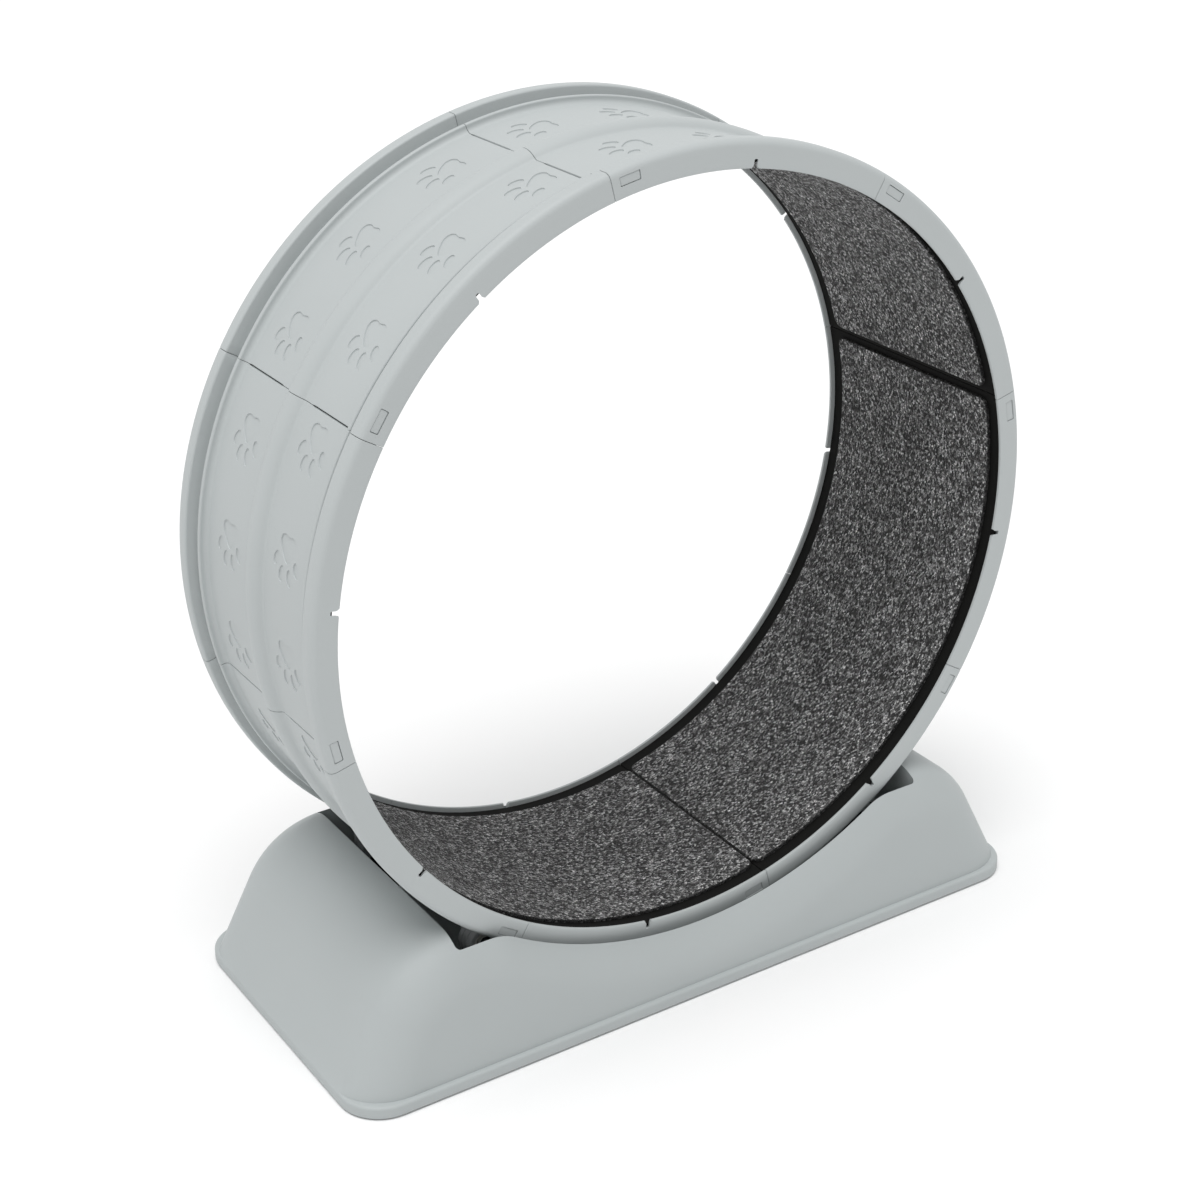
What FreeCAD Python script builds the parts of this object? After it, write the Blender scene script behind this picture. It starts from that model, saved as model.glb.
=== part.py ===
"""Cat exercise wheel: a ring of eight snap-together segments, lined with carpet, that
runs on four rollers in a moulded base.

Frame: millimetres, +Z up, the wheel's axis along Y with the open front at -Y, and the
origin on the floor under the middle of the wheel.
"""
import FreeCAD, Part
import os
import re

import Sketcher

Vector = FreeCAD.Vector

# ---------------------------------------------------------------- driving dimensions
SIZES = {
    # ring of the wheel
    "wheel_radius": 400,
    "wheel_width": 276,
    "ground_clearance": 50,
    "first_seam": 104,
    "seam_gap": 0.5,
    "wall": 3,
    "lip_depth": 26,
    "outer_bevel": 5,
    "flange_width": 17,
    "band_depth": 15,
    "ridge_height": 8,
    "ridge_foot": 18,
    "ridge_shoulder": 9,
    "ridge_fall": 2.3,
    "rail_height": 8,
    "rail_width": 5,
    "rail_groove": 11.5,
    # notches and snap joints of a segment
    "notch_width": 3,
    "notch_mouth": 4,
    "notch_depth": 8.5,
    "window_length": 21.4,
    "window_height": 8.8,
    "window_depth": 11.3,
    "window_back": 19,
    "boss_gap": 0.4,
    "boss_recess": 0.6,
    "tongue_gap": 0.3,
    "tongue_thickness": 2.4,
    "tongue_height": 10.4,
    "tongue_root": 17,
    "tongue_tip": 14,
    # lining
    "lining_gap": 0.3,
    "backing_thickness": 2.7,
    "backing_joint": 1,
    "carpet_thickness": 3.2,
    "carpet_border": 20,
    "carpet_joint": 1.5,
    "wide_joint": 13,
    # rollers
    "roller_angle": 34,
    "running_gap": 0.3,
    "roller_shift": 1,
    "tyre_radius": 18,
    "tyre_width": 22,
    "hub_radius": 13,
    "tyre_gap": 0.1,
    "pin_radius": 4,
    "pin_gap": 0.05,
    "pin_head_radius": 6.5,
    "pin_head_height": 2.6,
    "pin_head_gap": 0.1,
    "pin_end": 3,
    # roller brackets
    "ear_gap": 0.5,
    "ear_thickness": 4.5,
    "ear_radius": 8,
    "ear_foot": 22,
    "bracket_length": 60,
    "bracket_ledge": 9,
    "bracket_plate": 5,
    "web_thickness": 5,
    "web_gap": 7,
    # base
    "base_length": 800,
    "base_width": 358,
    "base_corner": 40,
    "strip_height": 14,
    "strip_bevel": 3,
    "strip_ledge_front": 4,
    "strip_ledge_end": 1.5,
    "rim_height": 1.5,
    "base_height": 146,
    "base_wall": 3.5,
    "end_slope": 29,
    "front_slope": 4.5,
    "hump_radius": 60,
    "saddle_depth": 23,
    "edge_radius": 36,
    "well_end_gap": 5,
    "well_side_gap": 10,
    "well_corner": 10,
    "well_floor": 20,
    "rib_thickness": 3,
    "long_rib": 60,
    "foot_length": 32,
    "foot_thickness": 4,
    "foot_gap": 0.3,
    "foot_inset_end": 50,
    "foot_inset_side": 49,
    "post_wall": 2.5,
    # how far a cutting shape reaches past what it cuts
    "margin": 1,
}

SEGMENTS = 8
LINING_PIECES = SEGMENTS // 2

# What follows from the driving dimensions, spelled in their names.
FORMULAS = {
    "half_width": "wheel_width / 2",
    "axle_height": "wheel_radius + ground_clearance",
    "segment_angle": "360 / %d" % SEGMENTS,
    "lip_radius": "wheel_radius - lip_depth",
    "band_radius": "wheel_radius - band_depth",
    "floor_radius": "band_radius - wall",
    # section of the ring
    "flange_inner": "half_width - flange_width",
    "rail_crest": "band_radius + rail_height",
    "rail_outer": "flange_inner - rail_groove",
    "rail_inner": "rail_outer - rail_width",
    "ridge_crest": "band_radius + ridge_height",
    # snap joint
    "window_radius": "wheel_radius - window_depth",
    "degrees_per_mm": "180 / (pi * window_radius)",
    "half_segment": "segment_angle / 2",
    "window_place": "window_back * degrees_per_mm",
    "half_window": "window_length / 2 * degrees_per_mm",
    "half_boss": "(window_length / 2 - boss_gap) * degrees_per_mm",
    "tongue_inside": "half_width - wall - tongue_gap - tongue_thickness",
    # lining
    "backing_outer": "floor_radius - lining_gap",
    "backing_inner": "backing_outer - backing_thickness",
    "backing_edge": "half_width - wall - lining_gap",
    "carpet_outer": "backing_inner - lining_gap",
    "carpet_inner": "carpet_outer - carpet_thickness",
    "carpet_edge": "half_width - carpet_border",
    # rollers
    "roller_distance": "rail_crest + running_gap + tyre_radius",
    "roller_x": "roller_distance * sin(roller_angle)",
    "roller_y": "(rail_inner + rail_outer) / 2 + roller_shift",
    "roller_z": "axle_height - roller_distance * cos(roller_angle)",
    "ear_inside": "tyre_width / 2 + ear_gap",
    "ear_outside": "ear_inside + ear_thickness",
    "bracket_edge": "ear_outside + bracket_ledge",
    "bracket_drop": "roller_z - well_floor - base_wall",
    # base
    "saddle_radius": "wheel_radius - saddle_depth",
    "well_half_length": "roller_x + bracket_length / 2 + well_end_gap",
    "well_half_width": "half_width + well_side_gap",
    "foot_x": "base_length / 2 - foot_inset_end",
    "foot_y": "base_width / 2 - foot_inset_side",
}

doc = FreeCAD.newDocument("CatExerciseWheel")
sheet = doc.addObject("Spreadsheet::Sheet", "Sizes")
for row, (alias, size) in enumerate(SIZES.items(), 1):
    sheet.set("A%d" % row, alias.replace("_", " "))
    sheet.set("B%d" % row, str(size))
    sheet.setAlias("B%d" % row, alias)
doc.recompute()

nodes = []


# ---------------------------------------------------------------- helpers
def spell(formula):
    """The formula with every name written out in the sheet's own cells."""
    def cell(match):
        name = match.group(0)
        if name in FORMULAS:
            return "(" + spell(FORMULAS[name]) + ")"
        return "Sizes." + name if name in SIZES else name

    return re.sub(r"[A-Za-z_]\w*", cell, formula)


def number(formula):
    """What the formula comes to now."""
    return float(sheet.evalExpression(spell(formula)))


def bind(thing, **formulas):
    """Tie the thing's properties to the sheet."""
    for name, formula in formulas.items():
        thing.setExpression(name, spell(formula))


def plane(body, role):
    """One of the body's own origin planes or axes."""
    return next(part for part in body.Origin.OriginFeatures if part.Role == role)


def arc_between(start, end, radius):
    """The short arc from start to end: it bends left, or right for a negative radius."""
    chord = end - start
    across = Vector(-chord.y, chord.x, 0).normalize()
    reach = max(radius * radius - chord.Length ** 2 / 4, 0) ** 0.5
    side = 1 if radius > 0 else -1
    centre = (start + end) * 0.5 + across * reach * side
    first, last = (start, end) if radius > 0 else (end, start)
    turn = Part.Circle(centre, Vector(0, 0, 1), abs(radius))
    return Part.ArcOfCircle(turn, turn.parameter(first), turn.parameter(last))


def draw(body, name, role, loops, level="0"):
    """Closed outlines on one of the body's own planes, lifted by level.

    A corner is (across, up), or (across, up, radius) where an arc leads on from it."""
    sketch = body.newObject("Sketcher::SketchObject", name)
    sketch.AttachmentSupport = [(plane(body, role), "")]
    sketch.MapMode = "FlatFace"
    sketch.setExpression("AttachmentOffset.Base.z", spell(level))
    for loop in loops:
        places = [Vector(number(corner[0]), number(corner[1]), 0) for corner in loop]
        previous = None
        for index, corner in enumerate(loop):
            here, there = places[index], places[(index + 1) % len(loop)]
            bend = number(corner[2]) if len(corner) > 2 else 0
            shape = arc_between(here, there, bend) if bend else Part.LineSegment(here, there)
            edge = sketch.addGeometry(shape, False)
            start, end = (2, 1) if bend < 0 else (1, 2)
            if bend:
                rule = sketch.addConstraint(Sketcher.Constraint("Radius", edge, abs(bend)))
                sketch.setExpression("Constraints[%d]" % rule, "abs(%s)" % spell(corner[2]))
            for kind, place, formula in (("DistanceX", here.x, corner[0]),
                                         ("DistanceY", here.y, corner[1])):
                constraint = Sketcher.Constraint(kind, -1, 1, edge, start, place)
                rule = sketch.addConstraint(constraint)
                sketch.setExpression("Constraints[%d]" % rule, spell(formula))
            if previous:
                sketch.addConstraint(Sketcher.Constraint("Coincident", *previous, edge, start))
            else:
                first = (edge, start)
            previous = (edge, end)
        sketch.addConstraint(Sketcher.Constraint("Coincident", *previous, *first))
    return sketch


def circle(body, name, role, radius):
    """A circle about the middle of one of the body's own planes."""
    sketch = body.newObject("Sketcher::SketchObject", name)
    sketch.AttachmentSupport = [(plane(body, role), "")]
    sketch.MapMode = "FlatFace"
    outline = Part.Circle(Vector(0, 0, 0), Vector(0, 0, 1), number(radius))
    ring = sketch.addGeometry(outline, False)
    sketch.addConstraint(Sketcher.Constraint("Coincident", ring, 3, -1, 1))
    rule = sketch.addConstraint(Sketcher.Constraint("Radius", ring, number(radius)))
    sketch.setExpression("Constraints[%d]" % rule, spell(radius))
    return sketch


TOLERANCE = 0.01


def extrude(kind, body, name, sketch, length, flip=False, midplane=False):
    """A Pad or Pocket of the sketch. A pocket that removes nothing stops the build."""
    before = body.Shape.Volume if kind == "Pocket" else 0
    feature = body.newObject("PartDesign::" + kind, name)
    feature.Profile = sketch
    feature.Reversed = flip
    feature.Midplane = midplane
    bind(feature, Length=length)
    doc.recompute()
    if kind == "Pocket" and body.Shape.Volume > before - TOLERANCE:
        raise RuntimeError(name + " cuts nothing")
    return feature


def revolve(body, name, sketch, angle="360", midplane=True):
    """Turn the sketch about its own horizontal axis."""
    feature = body.newObject("PartDesign::Revolution", name)
    feature.Profile = sketch
    feature.ReferenceAxis = (sketch, ["H_Axis"])
    feature.Midplane = midplane
    bind(feature, Angle=angle)
    doc.recompute()
    return feature


def new_body(label):
    body = doc.addObject("PartDesign::Body", label)
    body.Label = label
    return body


def copy_of(source, label):
    """A clone of the source body, placed on its own."""
    body = new_body(label)
    clone = body.newObject("PartDesign::FeatureBase", label + "_copy")
    clone.BaseFeature = source
    body.Tip = clone
    return body


def place(thing, x="0", y="0", z="0", axis=(0, 0, 1), angle="0"):
    """Tie the thing's Placement to the sheet."""
    base = "vector(%s; %s; %s)" % (spell(x), spell(y), spell(z))
    turn = "rotation(vector(%d; %d; %d); %s)" % (*axis, spell(angle))
    thing.setExpression("Placement", "placement(%s; %s)" % (base, turn))


def polar(radius, angle):
    """The corner at this radius, this many degrees clockwise of straight up."""
    return "(%s) * sin(%s)" % (radius, angle), "(%s) * cos(%s)" % (radius, angle)


def sector(inner, outer, start, end):
    """A piece of a ring between two radii and two angles, as a loop of corners."""
    return [polar(inner, end),
            polar(outer, end) + (outer,),
            polar(outer, start),
            polar(inner, start) + ("-(%s)" % inner,)]


def rectangle(low_x, high_x, low_y, high_y):
    return [(high_x, low_y), (high_x, high_y), (low_x, high_y), (low_x, low_y)]


def rounded(half_x, half_y, radius):
    """A rounded rectangle about the middle, as a loop of corners."""
    near_x, near_y = "%s - %s" % (half_x, radius), "%s - %s" % (half_y, radius)
    far_x, far_y = "-(%s)" % near_x, "-(%s)" % near_y
    return [(half_x, far_y), (half_x, near_y, radius), (near_x, half_y),
            (far_x, half_y, radius), ("-(%s)" % half_x, near_y),
            ("-(%s)" % half_x, far_y, radius), (far_x, "-(%s)" % half_y),
            (near_x, "-(%s)" % half_y, radius)]


# ---------------------------------------------------------------- ring segments
def ring_section():
    """Half of the ring's section, from the middle out over the band, rail and flange,
    round the lip and back under the moulding: (distance from the middle, radius)."""
    return [
        ("0", "ridge_crest"),
        ("ridge_shoulder", "ridge_crest - ridge_fall"),
        ("ridge_foot", "band_radius"),
        ("rail_inner", "band_radius"),
        ("rail_inner", "rail_crest"),
        ("rail_outer", "rail_crest"),
        ("rail_outer", "band_radius"),
        ("flange_inner", "band_radius"),
        ("flange_inner", "wheel_radius"),
        ("half_width - outer_bevel", "wheel_radius"),
        ("half_width", "wheel_radius - outer_bevel"),
        ("half_width", "lip_radius"),
        ("half_width - wall", "lip_radius"),
        ("half_width - wall", "wheel_radius - wall"),
        ("flange_inner + wall", "wheel_radius - wall"),
        ("flange_inner + wall", "floor_radius"),
        ("0", "floor_radius"),
    ]


def wheel_segment():
    """One eighth of the ring, centred straight up about the wheel's axis.

    Its rear half is drawn and mirrored. Each end has half of a seam: one end carries two
    snap tongues, and the other has the windows that the next segment's tongues fill."""
    body = new_body("wheel_segment_1")
    section = draw(body, "ring_section", "YZ_Plane", [ring_section()])
    gap = "seam_gap / wheel_radius * 180 / pi"
    revolve(body, "ring_sweep", section, "segment_angle - " + gap)

    window = sector("window_radius - window_height / 2", "window_radius + window_height / 2",
                    "window_place - half_window - half_segment",
                    "window_place + half_window - half_segment")
    sketch = draw(body, "window_outline", "XZ_Plane", [window], "-(half_width - wall - margin)")
    extrude("Pocket", body, "window", sketch, "wall + 2 * margin")

    mouth, throat = "notch_mouth / 2", "notch_width / 2"
    notch = [(mouth, "lip_radius - margin"), (throat, "lip_radius + notch_depth"),
             ("-(%s)" % throat, "lip_radius + notch_depth"), ("-(%s)" % mouth, "lip_radius - margin")]
    sketch = draw(body, "notch_outline", "XZ_Plane", [notch], "-(half_width - wall - margin)")
    extrude("Pocket", body, "notch", sketch, "wall + 2 * margin")

    low, high = "window_radius - tongue_height / 2", "window_radius + tongue_height / 2"
    root = "half_segment - tongue_root * degrees_per_mm"
    end = "half_segment - " + gap
    tip = "half_segment + window_place + tongue_tip * degrees_per_mm"
    sketch = draw(body, "tongue_outline", "XZ_Plane", [sector(low, high, root, tip)],
                  "-tongue_inside")
    extrude("Pad", body, "tongue", sketch, "tongue_thickness", flip=True)
    sketch = draw(body, "root_outline", "XZ_Plane", [sector(low, high, root, end)],
                  "-tongue_inside")
    extrude("Pad", body, "tongue_root", sketch, "tongue_thickness + tongue_gap", flip=True)
    boss = sector("window_radius - window_height / 2 + boss_gap",
                  "window_radius + window_height / 2 - boss_gap",
                  "half_segment + window_place - half_boss",
                  "half_segment + window_place + half_boss")
    sketch = draw(body, "boss_outline", "XZ_Plane", [boss], "-tongue_inside")
    extrude("Pad", body, "boss", sketch, "half_width - boss_recess - tongue_inside", flip=True)

    mirror = body.newObject("PartDesign::Mirrored", "front_half")
    mirror.TransformMode = "Whole shape"
    mirror.MirrorPlane = (plane(body, "XZ_Plane"), [""])
    body.Tip = mirror
    doc.recompute()
    return body


def make_ring():
    first = wheel_segment()
    for index in range(SEGMENTS):
        body = first if index == 0 else copy_of(first, "wheel_segment_%d" % (index + 1))
        middle = "(90 - first_seam) + segment_angle * %s" % (index + 0.5)
        place(body, z="axle_height", axis=(0, 1, 0), angle=middle)
        nodes.append(body)


# ---------------------------------------------------------------- lining
def lining_piece(label, index, inner, outer, edge, gap_before, gap_after):
    """A quarter ring of lining that covers two segments, short of its ends by the gaps."""
    body = new_body(label)
    section = draw(body, label + "_section", "YZ_Plane",
                   [rectangle("-(%s)" % edge, edge, inner, outer)])
    turn = "180 / (pi * %s)" % inner
    revolve(body, label + "_sweep", section,
            "2 * segment_angle - (%s + %s) * %s" % (gap_before, gap_after, turn))
    middle = "(90 - first_seam) + segment_angle * %s" % (2 * index + 1)
    shift = "(%s - %s) / 2 * %s" % (gap_before, gap_after, turn)
    place(body, z="axle_height", axis=(0, 1, 0), angle="%s + %s" % (middle, shift))
    nodes.append(body)
    return body


def make_lining():
    joints = ["carpet_joint / 2", "wide_joint / 2"] + ["carpet_joint / 2"] * 3
    for index in range(LINING_PIECES):
        lining_piece("mat_backing_%d" % (index + 1), index, "backing_inner", "backing_outer",
                     "backing_edge", "backing_joint / 2", "backing_joint / 2")
        label = "carpet_%d" % (index + 1)
        lining_piece(label, index, "carpet_inner", "carpet_outer", "carpet_edge",
                     joints[index], joints[index + 1])


# ---------------------------------------------------------------- rollers
# Where the four rollers stand: (name, side along X, side along Y).
CORNERS = [("front_left", -1, -1), ("front_right", 1, -1),
           ("rear_left", -1, 1), ("rear_right", 1, 1)]


def at_corners(first, name):
    """The piece drawn about a roller's centre, and its copies, set at the four corners.

    The front ones are turned round, so that every pin's head faces outward."""
    for corner, side_x, side_y in CORNERS:
        label = "%s_%s" % (name, corner)
        if corner == CORNERS[0][0]:
            body = first
            body.Label = label
        else:
            body = copy_of(first, label)
        place(body, "%d * roller_x" % side_x, "%d * roller_y" % side_y, "roller_z",
              angle="%d" % (0 if side_y > 0 else 180))
        nodes.append(body)


def turned(name, loop):
    """A round piece about the roller's axis, from its section."""
    body = new_body(name)
    revolve(body, name + "_turn", draw(body, name + "_section", "YZ_Plane", [loop]))
    return body


def make_rollers():
    side = "tyre_width / 2"
    at_corners(turned("roller_tyre", rectangle("-" + side, side, "hub_radius + tyre_gap",
                                               "tyre_radius")), "roller_tyre")
    at_corners(turned("roller_hub", rectangle("-" + side, side, "pin_radius + pin_gap",
                                              "hub_radius")), "roller_hub")
    head = "ear_outside + pin_head_gap"
    pin = [("-(ear_outside + pin_end)", "0"), (head + " + pin_head_height", "0"),
           (head + " + pin_head_height", "pin_head_radius"), (head, "pin_head_radius"),
           (head, "pin_radius"), ("-(ear_outside + pin_end)", "pin_radius")]
    at_corners(turned("roller_pin", pin[::-1]), "roller_pin")


def make_brackets():
    """A moulded cradle: a plate, two ears that hold the pin, and a web between them."""
    body = new_body("roller_bracket")
    floor = "-bracket_drop"
    top = "-(bracket_drop - bracket_plate)"
    sketch = draw(body, "plate_outline", "XY_Plane",
                  [rectangle("-bracket_length / 2", "bracket_length / 2",
                             "-bracket_edge", "bracket_edge")], floor)
    extrude("Pad", body, "plate", sketch, "bracket_plate")
    flat = "ear_radius * tan(45 / 2)"
    ear = [("ear_foot", top), ("ear_radius", flat), (flat, "ear_radius"),
           ("-" + flat, "ear_radius"), ("-ear_radius", flat), ("-ear_foot", top)]
    for side, level in (("front", "ear_inside"), ("rear", "-ear_outside")):
        sketch = draw(body, side + "_ear_outline", "XZ_Plane", [ear], level)
        extrude("Pad", body, side + "_ear", sketch, "ear_thickness")
    web = rectangle("-web_thickness / 2", "web_thickness / 2", top, "-(tyre_radius + web_gap)")
    sketch = draw(body, "web_outline", "XZ_Plane", [web])
    extrude("Pad", body, "web", sketch, "2 * ear_inside", midplane=True)
    sketch = circle(body, "pin_hole_outline", "XZ_Plane", "pin_radius + pin_gap")
    extrude("Pocket", body, "pin_hole", sketch, "2 * bracket_edge", midplane=True)
    at_corners(body, "roller_bracket")


# ---------------------------------------------------------------- base
def base_form(label, inset, bottom, finish, size):
    """The base's outer form, drawn in by inset: two humps and the saddle between them.

    Its outline is swept across the base, its front and rear are cut to lean inward, and
    a large Fillet or Chamfer runs over their edges; size names its property."""
    body = new_body(label)
    top = "(base_height - %s)" % inset
    bend = "(hump_radius - %s)" % inset
    saddle = "(saddle_radius + %s)" % inset

    def end_x(height):
        return ("base_length / 2 - strip_ledge_end - (%s) * tan(end_slope) - %s / cos(end_slope)"
                % (height, inset))

    turn = "%s * tan((90 - end_slope) / 2)" % bend
    crest_x = "%s - %s" % (end_x(top), turn)
    slope_x = "%s + %s * sin(end_slope)" % (end_x(top), turn)
    slope_z = "%s - %s * cos(end_slope)" % (top, turn)
    rise = "(axle_height - %s + %s)" % (top, bend)
    shoulder_x = "sqrt((%s + %s)^2 - %s^2)" % (saddle, bend, rise)
    share = "%s / (%s + %s)" % (saddle, saddle, bend)
    saddle_x = "%s * %s" % (shoulder_x, share)
    saddle_z = "axle_height - %s * %s" % (rise, share)
    outline = [(end_x(bottom), bottom), (slope_x, slope_z, bend), (crest_x, top),
               (shoulder_x, top, bend), (saddle_x, saddle_z, "-" + saddle),
               ("-(%s)" % saddle_x, saddle_z, bend), ("-(%s)" % shoulder_x, top),
               ("-(%s)" % crest_x, top, bend), ("-(%s)" % slope_x, slope_z),
               ("-(%s)" % end_x(bottom), bottom)]
    half = "(base_width / 2 - strip_ledge_front - %s / cos(front_slope))" % inset
    sketch = draw(body, label + "_outline", "XZ_Plane", [outline])
    extrude("Pad", body, label + "_sweep", sketch, "2 * " + half, midplane=True)
    above = top + " + margin"
    lean = "%s - (%s) * tan(front_slope)"
    wedge = [(lean % (half, "-margin"), "-margin"), ("base_width", "-margin"),
             ("base_width", above), (lean % (half, above), above)]
    mirrored = [("-(%s)" % across, up) for across, up in wedge]
    sketch = draw(body, label + "_lean", "YZ_Plane", [wedge, mirrored])
    form = extrude("Pocket", body, label + "_sides", sketch, "2 * base_length", midplane=True)
    low = form.Shape.BoundBox.ZMin + TOLERANCE
    outlines = [edge for face in form.Shape.Faces if abs(face.normalAt(0, 0).y) > 0.9
                for edge in face.Edges if edge.BoundBox.ZMax > low]
    names = ["Edge%d" % (index + 1) for index, edge in enumerate(form.Shape.Edges)
             if any(edge.isSame(other) for other in outlines)]
    edging = body.newObject("PartDesign::" + finish, label + "_edging")
    edging.Base = (form, names)
    bind(edging, **{size: "edge_radius - %s" % inset})
    doc.recompute()
    return body


def base_strip():
    """The foot strip round the bottom, with a bevelled upper edge."""
    body = new_body("foot_strip")
    sketch = draw(body, "strip_outline", "XY_Plane",
                  [rounded("base_length / 2", "base_width / 2", "base_corner")], "rim_height")
    strip = extrude("Pad", body, "strip", sketch, "strip_height - rim_height")
    high = strip.Shape.BoundBox.ZMax - TOLERANCE
    names = ["Edge%d" % (index + 1) for index, edge in enumerate(strip.Shape.Edges)
             if edge.BoundBox.ZMin > high]
    bevel = body.newObject("PartDesign::Chamfer", "strip_top")
    bevel.Base = (strip, names)
    bind(bevel, Size="strip_bevel")
    doc.recompute()
    return body


def at_feet(around):
    """A square round each of the four feet, this far outside the foot's own sides."""
    half = "(foot_length / 2 + %s)" % around
    return [rectangle("%d * foot_x - %s" % (x, half), "%d * foot_x + %s" % (x, half),
                      "%d * foot_y - %s" % (y, half), "%d * foot_y + %s" % (y, half))
            for name, x, y in CORNERS]


def base_core():
    """What stands inside the base: the well, the ribs under it and the foot posts."""
    body = new_body("base_core")
    body.AllowCompound = True
    tall = "base_height - rim_height"
    well = rounded("(well_half_length + base_wall)", "(well_half_width + base_wall)",
                   "(well_corner + base_wall)")
    sketch = draw(body, "well_outline", "XY_Plane", [well], "well_floor")
    extrude("Pad", body, "well_box", sketch, "base_height - well_floor")
    half = "rib_thickness / 2"
    for name, middle in (("front_rib", "-long_rib"), ("rear_rib", "long_rib")):
        rib = rectangle("-base_length / 2", "base_length / 2",
                        "%s - %s" % (middle, half), "%s + %s" % (middle, half))
        sketch = draw(body, name + "_outline", "XY_Plane", [rib], "rim_height")
        extrude("Pad", body, name, sketch, tall)
    sketch = draw(body, "post_outline", "XY_Plane", at_feet("foot_gap + post_wall"), "rim_height")
    extrude("Pad", body, "posts", sketch, tall)
    return body


def base_cuts():
    """What is cut from the base: the well's inside and the feet's seats."""
    body = new_body("base_cuts")
    body.AllowCompound = True
    well = rounded("well_half_length", "well_half_width", "well_corner")
    sketch = draw(body, "well_inside", "XY_Plane", [well], "well_floor + base_wall")
    extrude("Pad", body, "well_hollow", sketch, "base_height")
    sketch = draw(body, "foot_seats", "XY_Plane", at_feet("foot_gap"))
    extrude("Pad", body, "seats", sketch, "foot_thickness")
    return body


def make_base():
    """The outer form with its foot strip, less the room between the skin and what stands
    inside it, less the well and the seats."""
    outside = doc.addObject("Part::Fuse", "base_outside")
    outside.Base = base_form("outer_form", "0", "rim_height", "Fillet", "Radius")
    outside.Tool = base_strip()
    room = doc.addObject("Part::Cut", "base_room")
    room.Base = base_form("cavity", "base_wall", "0", "Chamfer", "Size")
    room.Tool = base_core()
    moulding = doc.addObject("Part::Cut", "base_moulding")
    moulding.Base, moulding.Tool = outside, room
    shell = doc.addObject("Part::Cut", "base_shell")
    shell.Base, shell.Tool = moulding, base_cuts()
    nodes.append(shell)


def make_feet():
    body = new_body("rubber_feet")
    body.AllowCompound = True
    sketch = draw(body, "foot_outlines", "XY_Plane", at_feet("0"))
    extrude("Pad", body, "feet", sketch, "foot_thickness")
    nodes.append(body)


make_ring()
make_lining()
make_rollers()
make_brackets()
make_base()
make_feet()


# ---------------------------------------------------------------- checks and files
def write_parts():
    doc.recompute()
    failed = [thing.Name for thing in doc.Objects
              if "Invalid" in thing.State or "Error" in thing.State]
    failed += [node.Label for node in nodes if node.Shape.isNull() or not node.Shape.isValid()]
    if failed:
        raise RuntimeError("failed: " + ", ".join(failed))
    os.makedirs("parts", exist_ok=True)
    for node in nodes:
        node.Shape.exportStep("parts/%s.step" % node.Label)


write_parts()
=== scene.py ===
"""The looks of a cat exercise wheel: a ring of eight moulded segments, lined with
carpet, on four rollers in a moulded base. Metres; the wheel's axis runs along Y."""
import math

import bmesh
import bpy
from mathutils import Matrix, Vector
from mathutils.geometry import delaunay_2d_cdt


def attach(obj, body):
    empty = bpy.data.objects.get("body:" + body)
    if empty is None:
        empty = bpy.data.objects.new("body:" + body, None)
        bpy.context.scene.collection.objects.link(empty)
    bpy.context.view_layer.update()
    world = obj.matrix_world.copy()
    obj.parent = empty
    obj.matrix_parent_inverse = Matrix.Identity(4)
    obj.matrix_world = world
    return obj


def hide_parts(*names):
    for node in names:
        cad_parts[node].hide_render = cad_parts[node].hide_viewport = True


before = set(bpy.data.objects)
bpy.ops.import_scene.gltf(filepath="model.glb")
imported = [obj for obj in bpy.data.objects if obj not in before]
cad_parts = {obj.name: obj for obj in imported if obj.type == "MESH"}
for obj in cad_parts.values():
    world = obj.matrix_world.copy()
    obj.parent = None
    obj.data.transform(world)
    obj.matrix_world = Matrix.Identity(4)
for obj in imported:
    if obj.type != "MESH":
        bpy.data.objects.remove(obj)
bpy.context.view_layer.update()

MM = 0.001

# ---------------------------------------------------------------- sizes
# The axle's height is in metres. The other sizes are in millimetres and degrees.
AXLE_HEIGHT = 0.450
SEGMENTS = 8
SEGMENT_ANGLE = 360.0 / SEGMENTS
FIRST_SEAM = 104.0
LINING_PIECES = 4
RIM_RADIUS = 400.0
BAND_RADIUS = RIM_RADIUS - 15.0
LIP_RADIUS = RIM_RADIUS - 26.0
HALF_WIDTH = 138.0
WALL = 3.0


# ---------------------------------------------------------------- shader helpers
def material(name, build):
    """A node material: build gets the tree's nodes, links and its Principled shader."""
    made = bpy.data.materials.new(name)
    made.use_nodes = True
    tree = made.node_tree
    build(tree, tree.nodes["Principled BSDF"])
    return made


def node(tree, kind, inputs=None, **settings):
    """A node with its settings and its inputs: each a value or another node's output."""
    made = tree.nodes.new(kind)
    for name, value in settings.items():
        setattr(made, name, value)
    for name, value in (inputs or {}).items():
        if isinstance(value, bpy.types.NodeSocket):
            tree.links.new(value, made.inputs[name])
        else:
            made.inputs[name].default_value = value
    return made


def group(name, inputs, outputs, build):
    """A shader node group: inputs are (name, default), outputs (name, socket type)."""
    tree = bpy.data.node_groups.new(name, "ShaderNodeTree")
    for label, default in inputs:
        kind = "NodeSocketColor" if isinstance(default, tuple) else "NodeSocketFloat"
        socket = tree.interface.new_socket(label, in_out="INPUT", socket_type=kind)
        socket.default_value = default
    for label, kind in outputs:
        tree.interface.new_socket(label, in_out="OUTPUT", socket_type=kind)
    start = tree.nodes.new("NodeGroupInput")
    end = tree.nodes.new("NodeGroupOutput")
    for label, socket in build(tree, start.outputs).items():
        tree.links.new(socket, end.inputs[label])
    return tree


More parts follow.
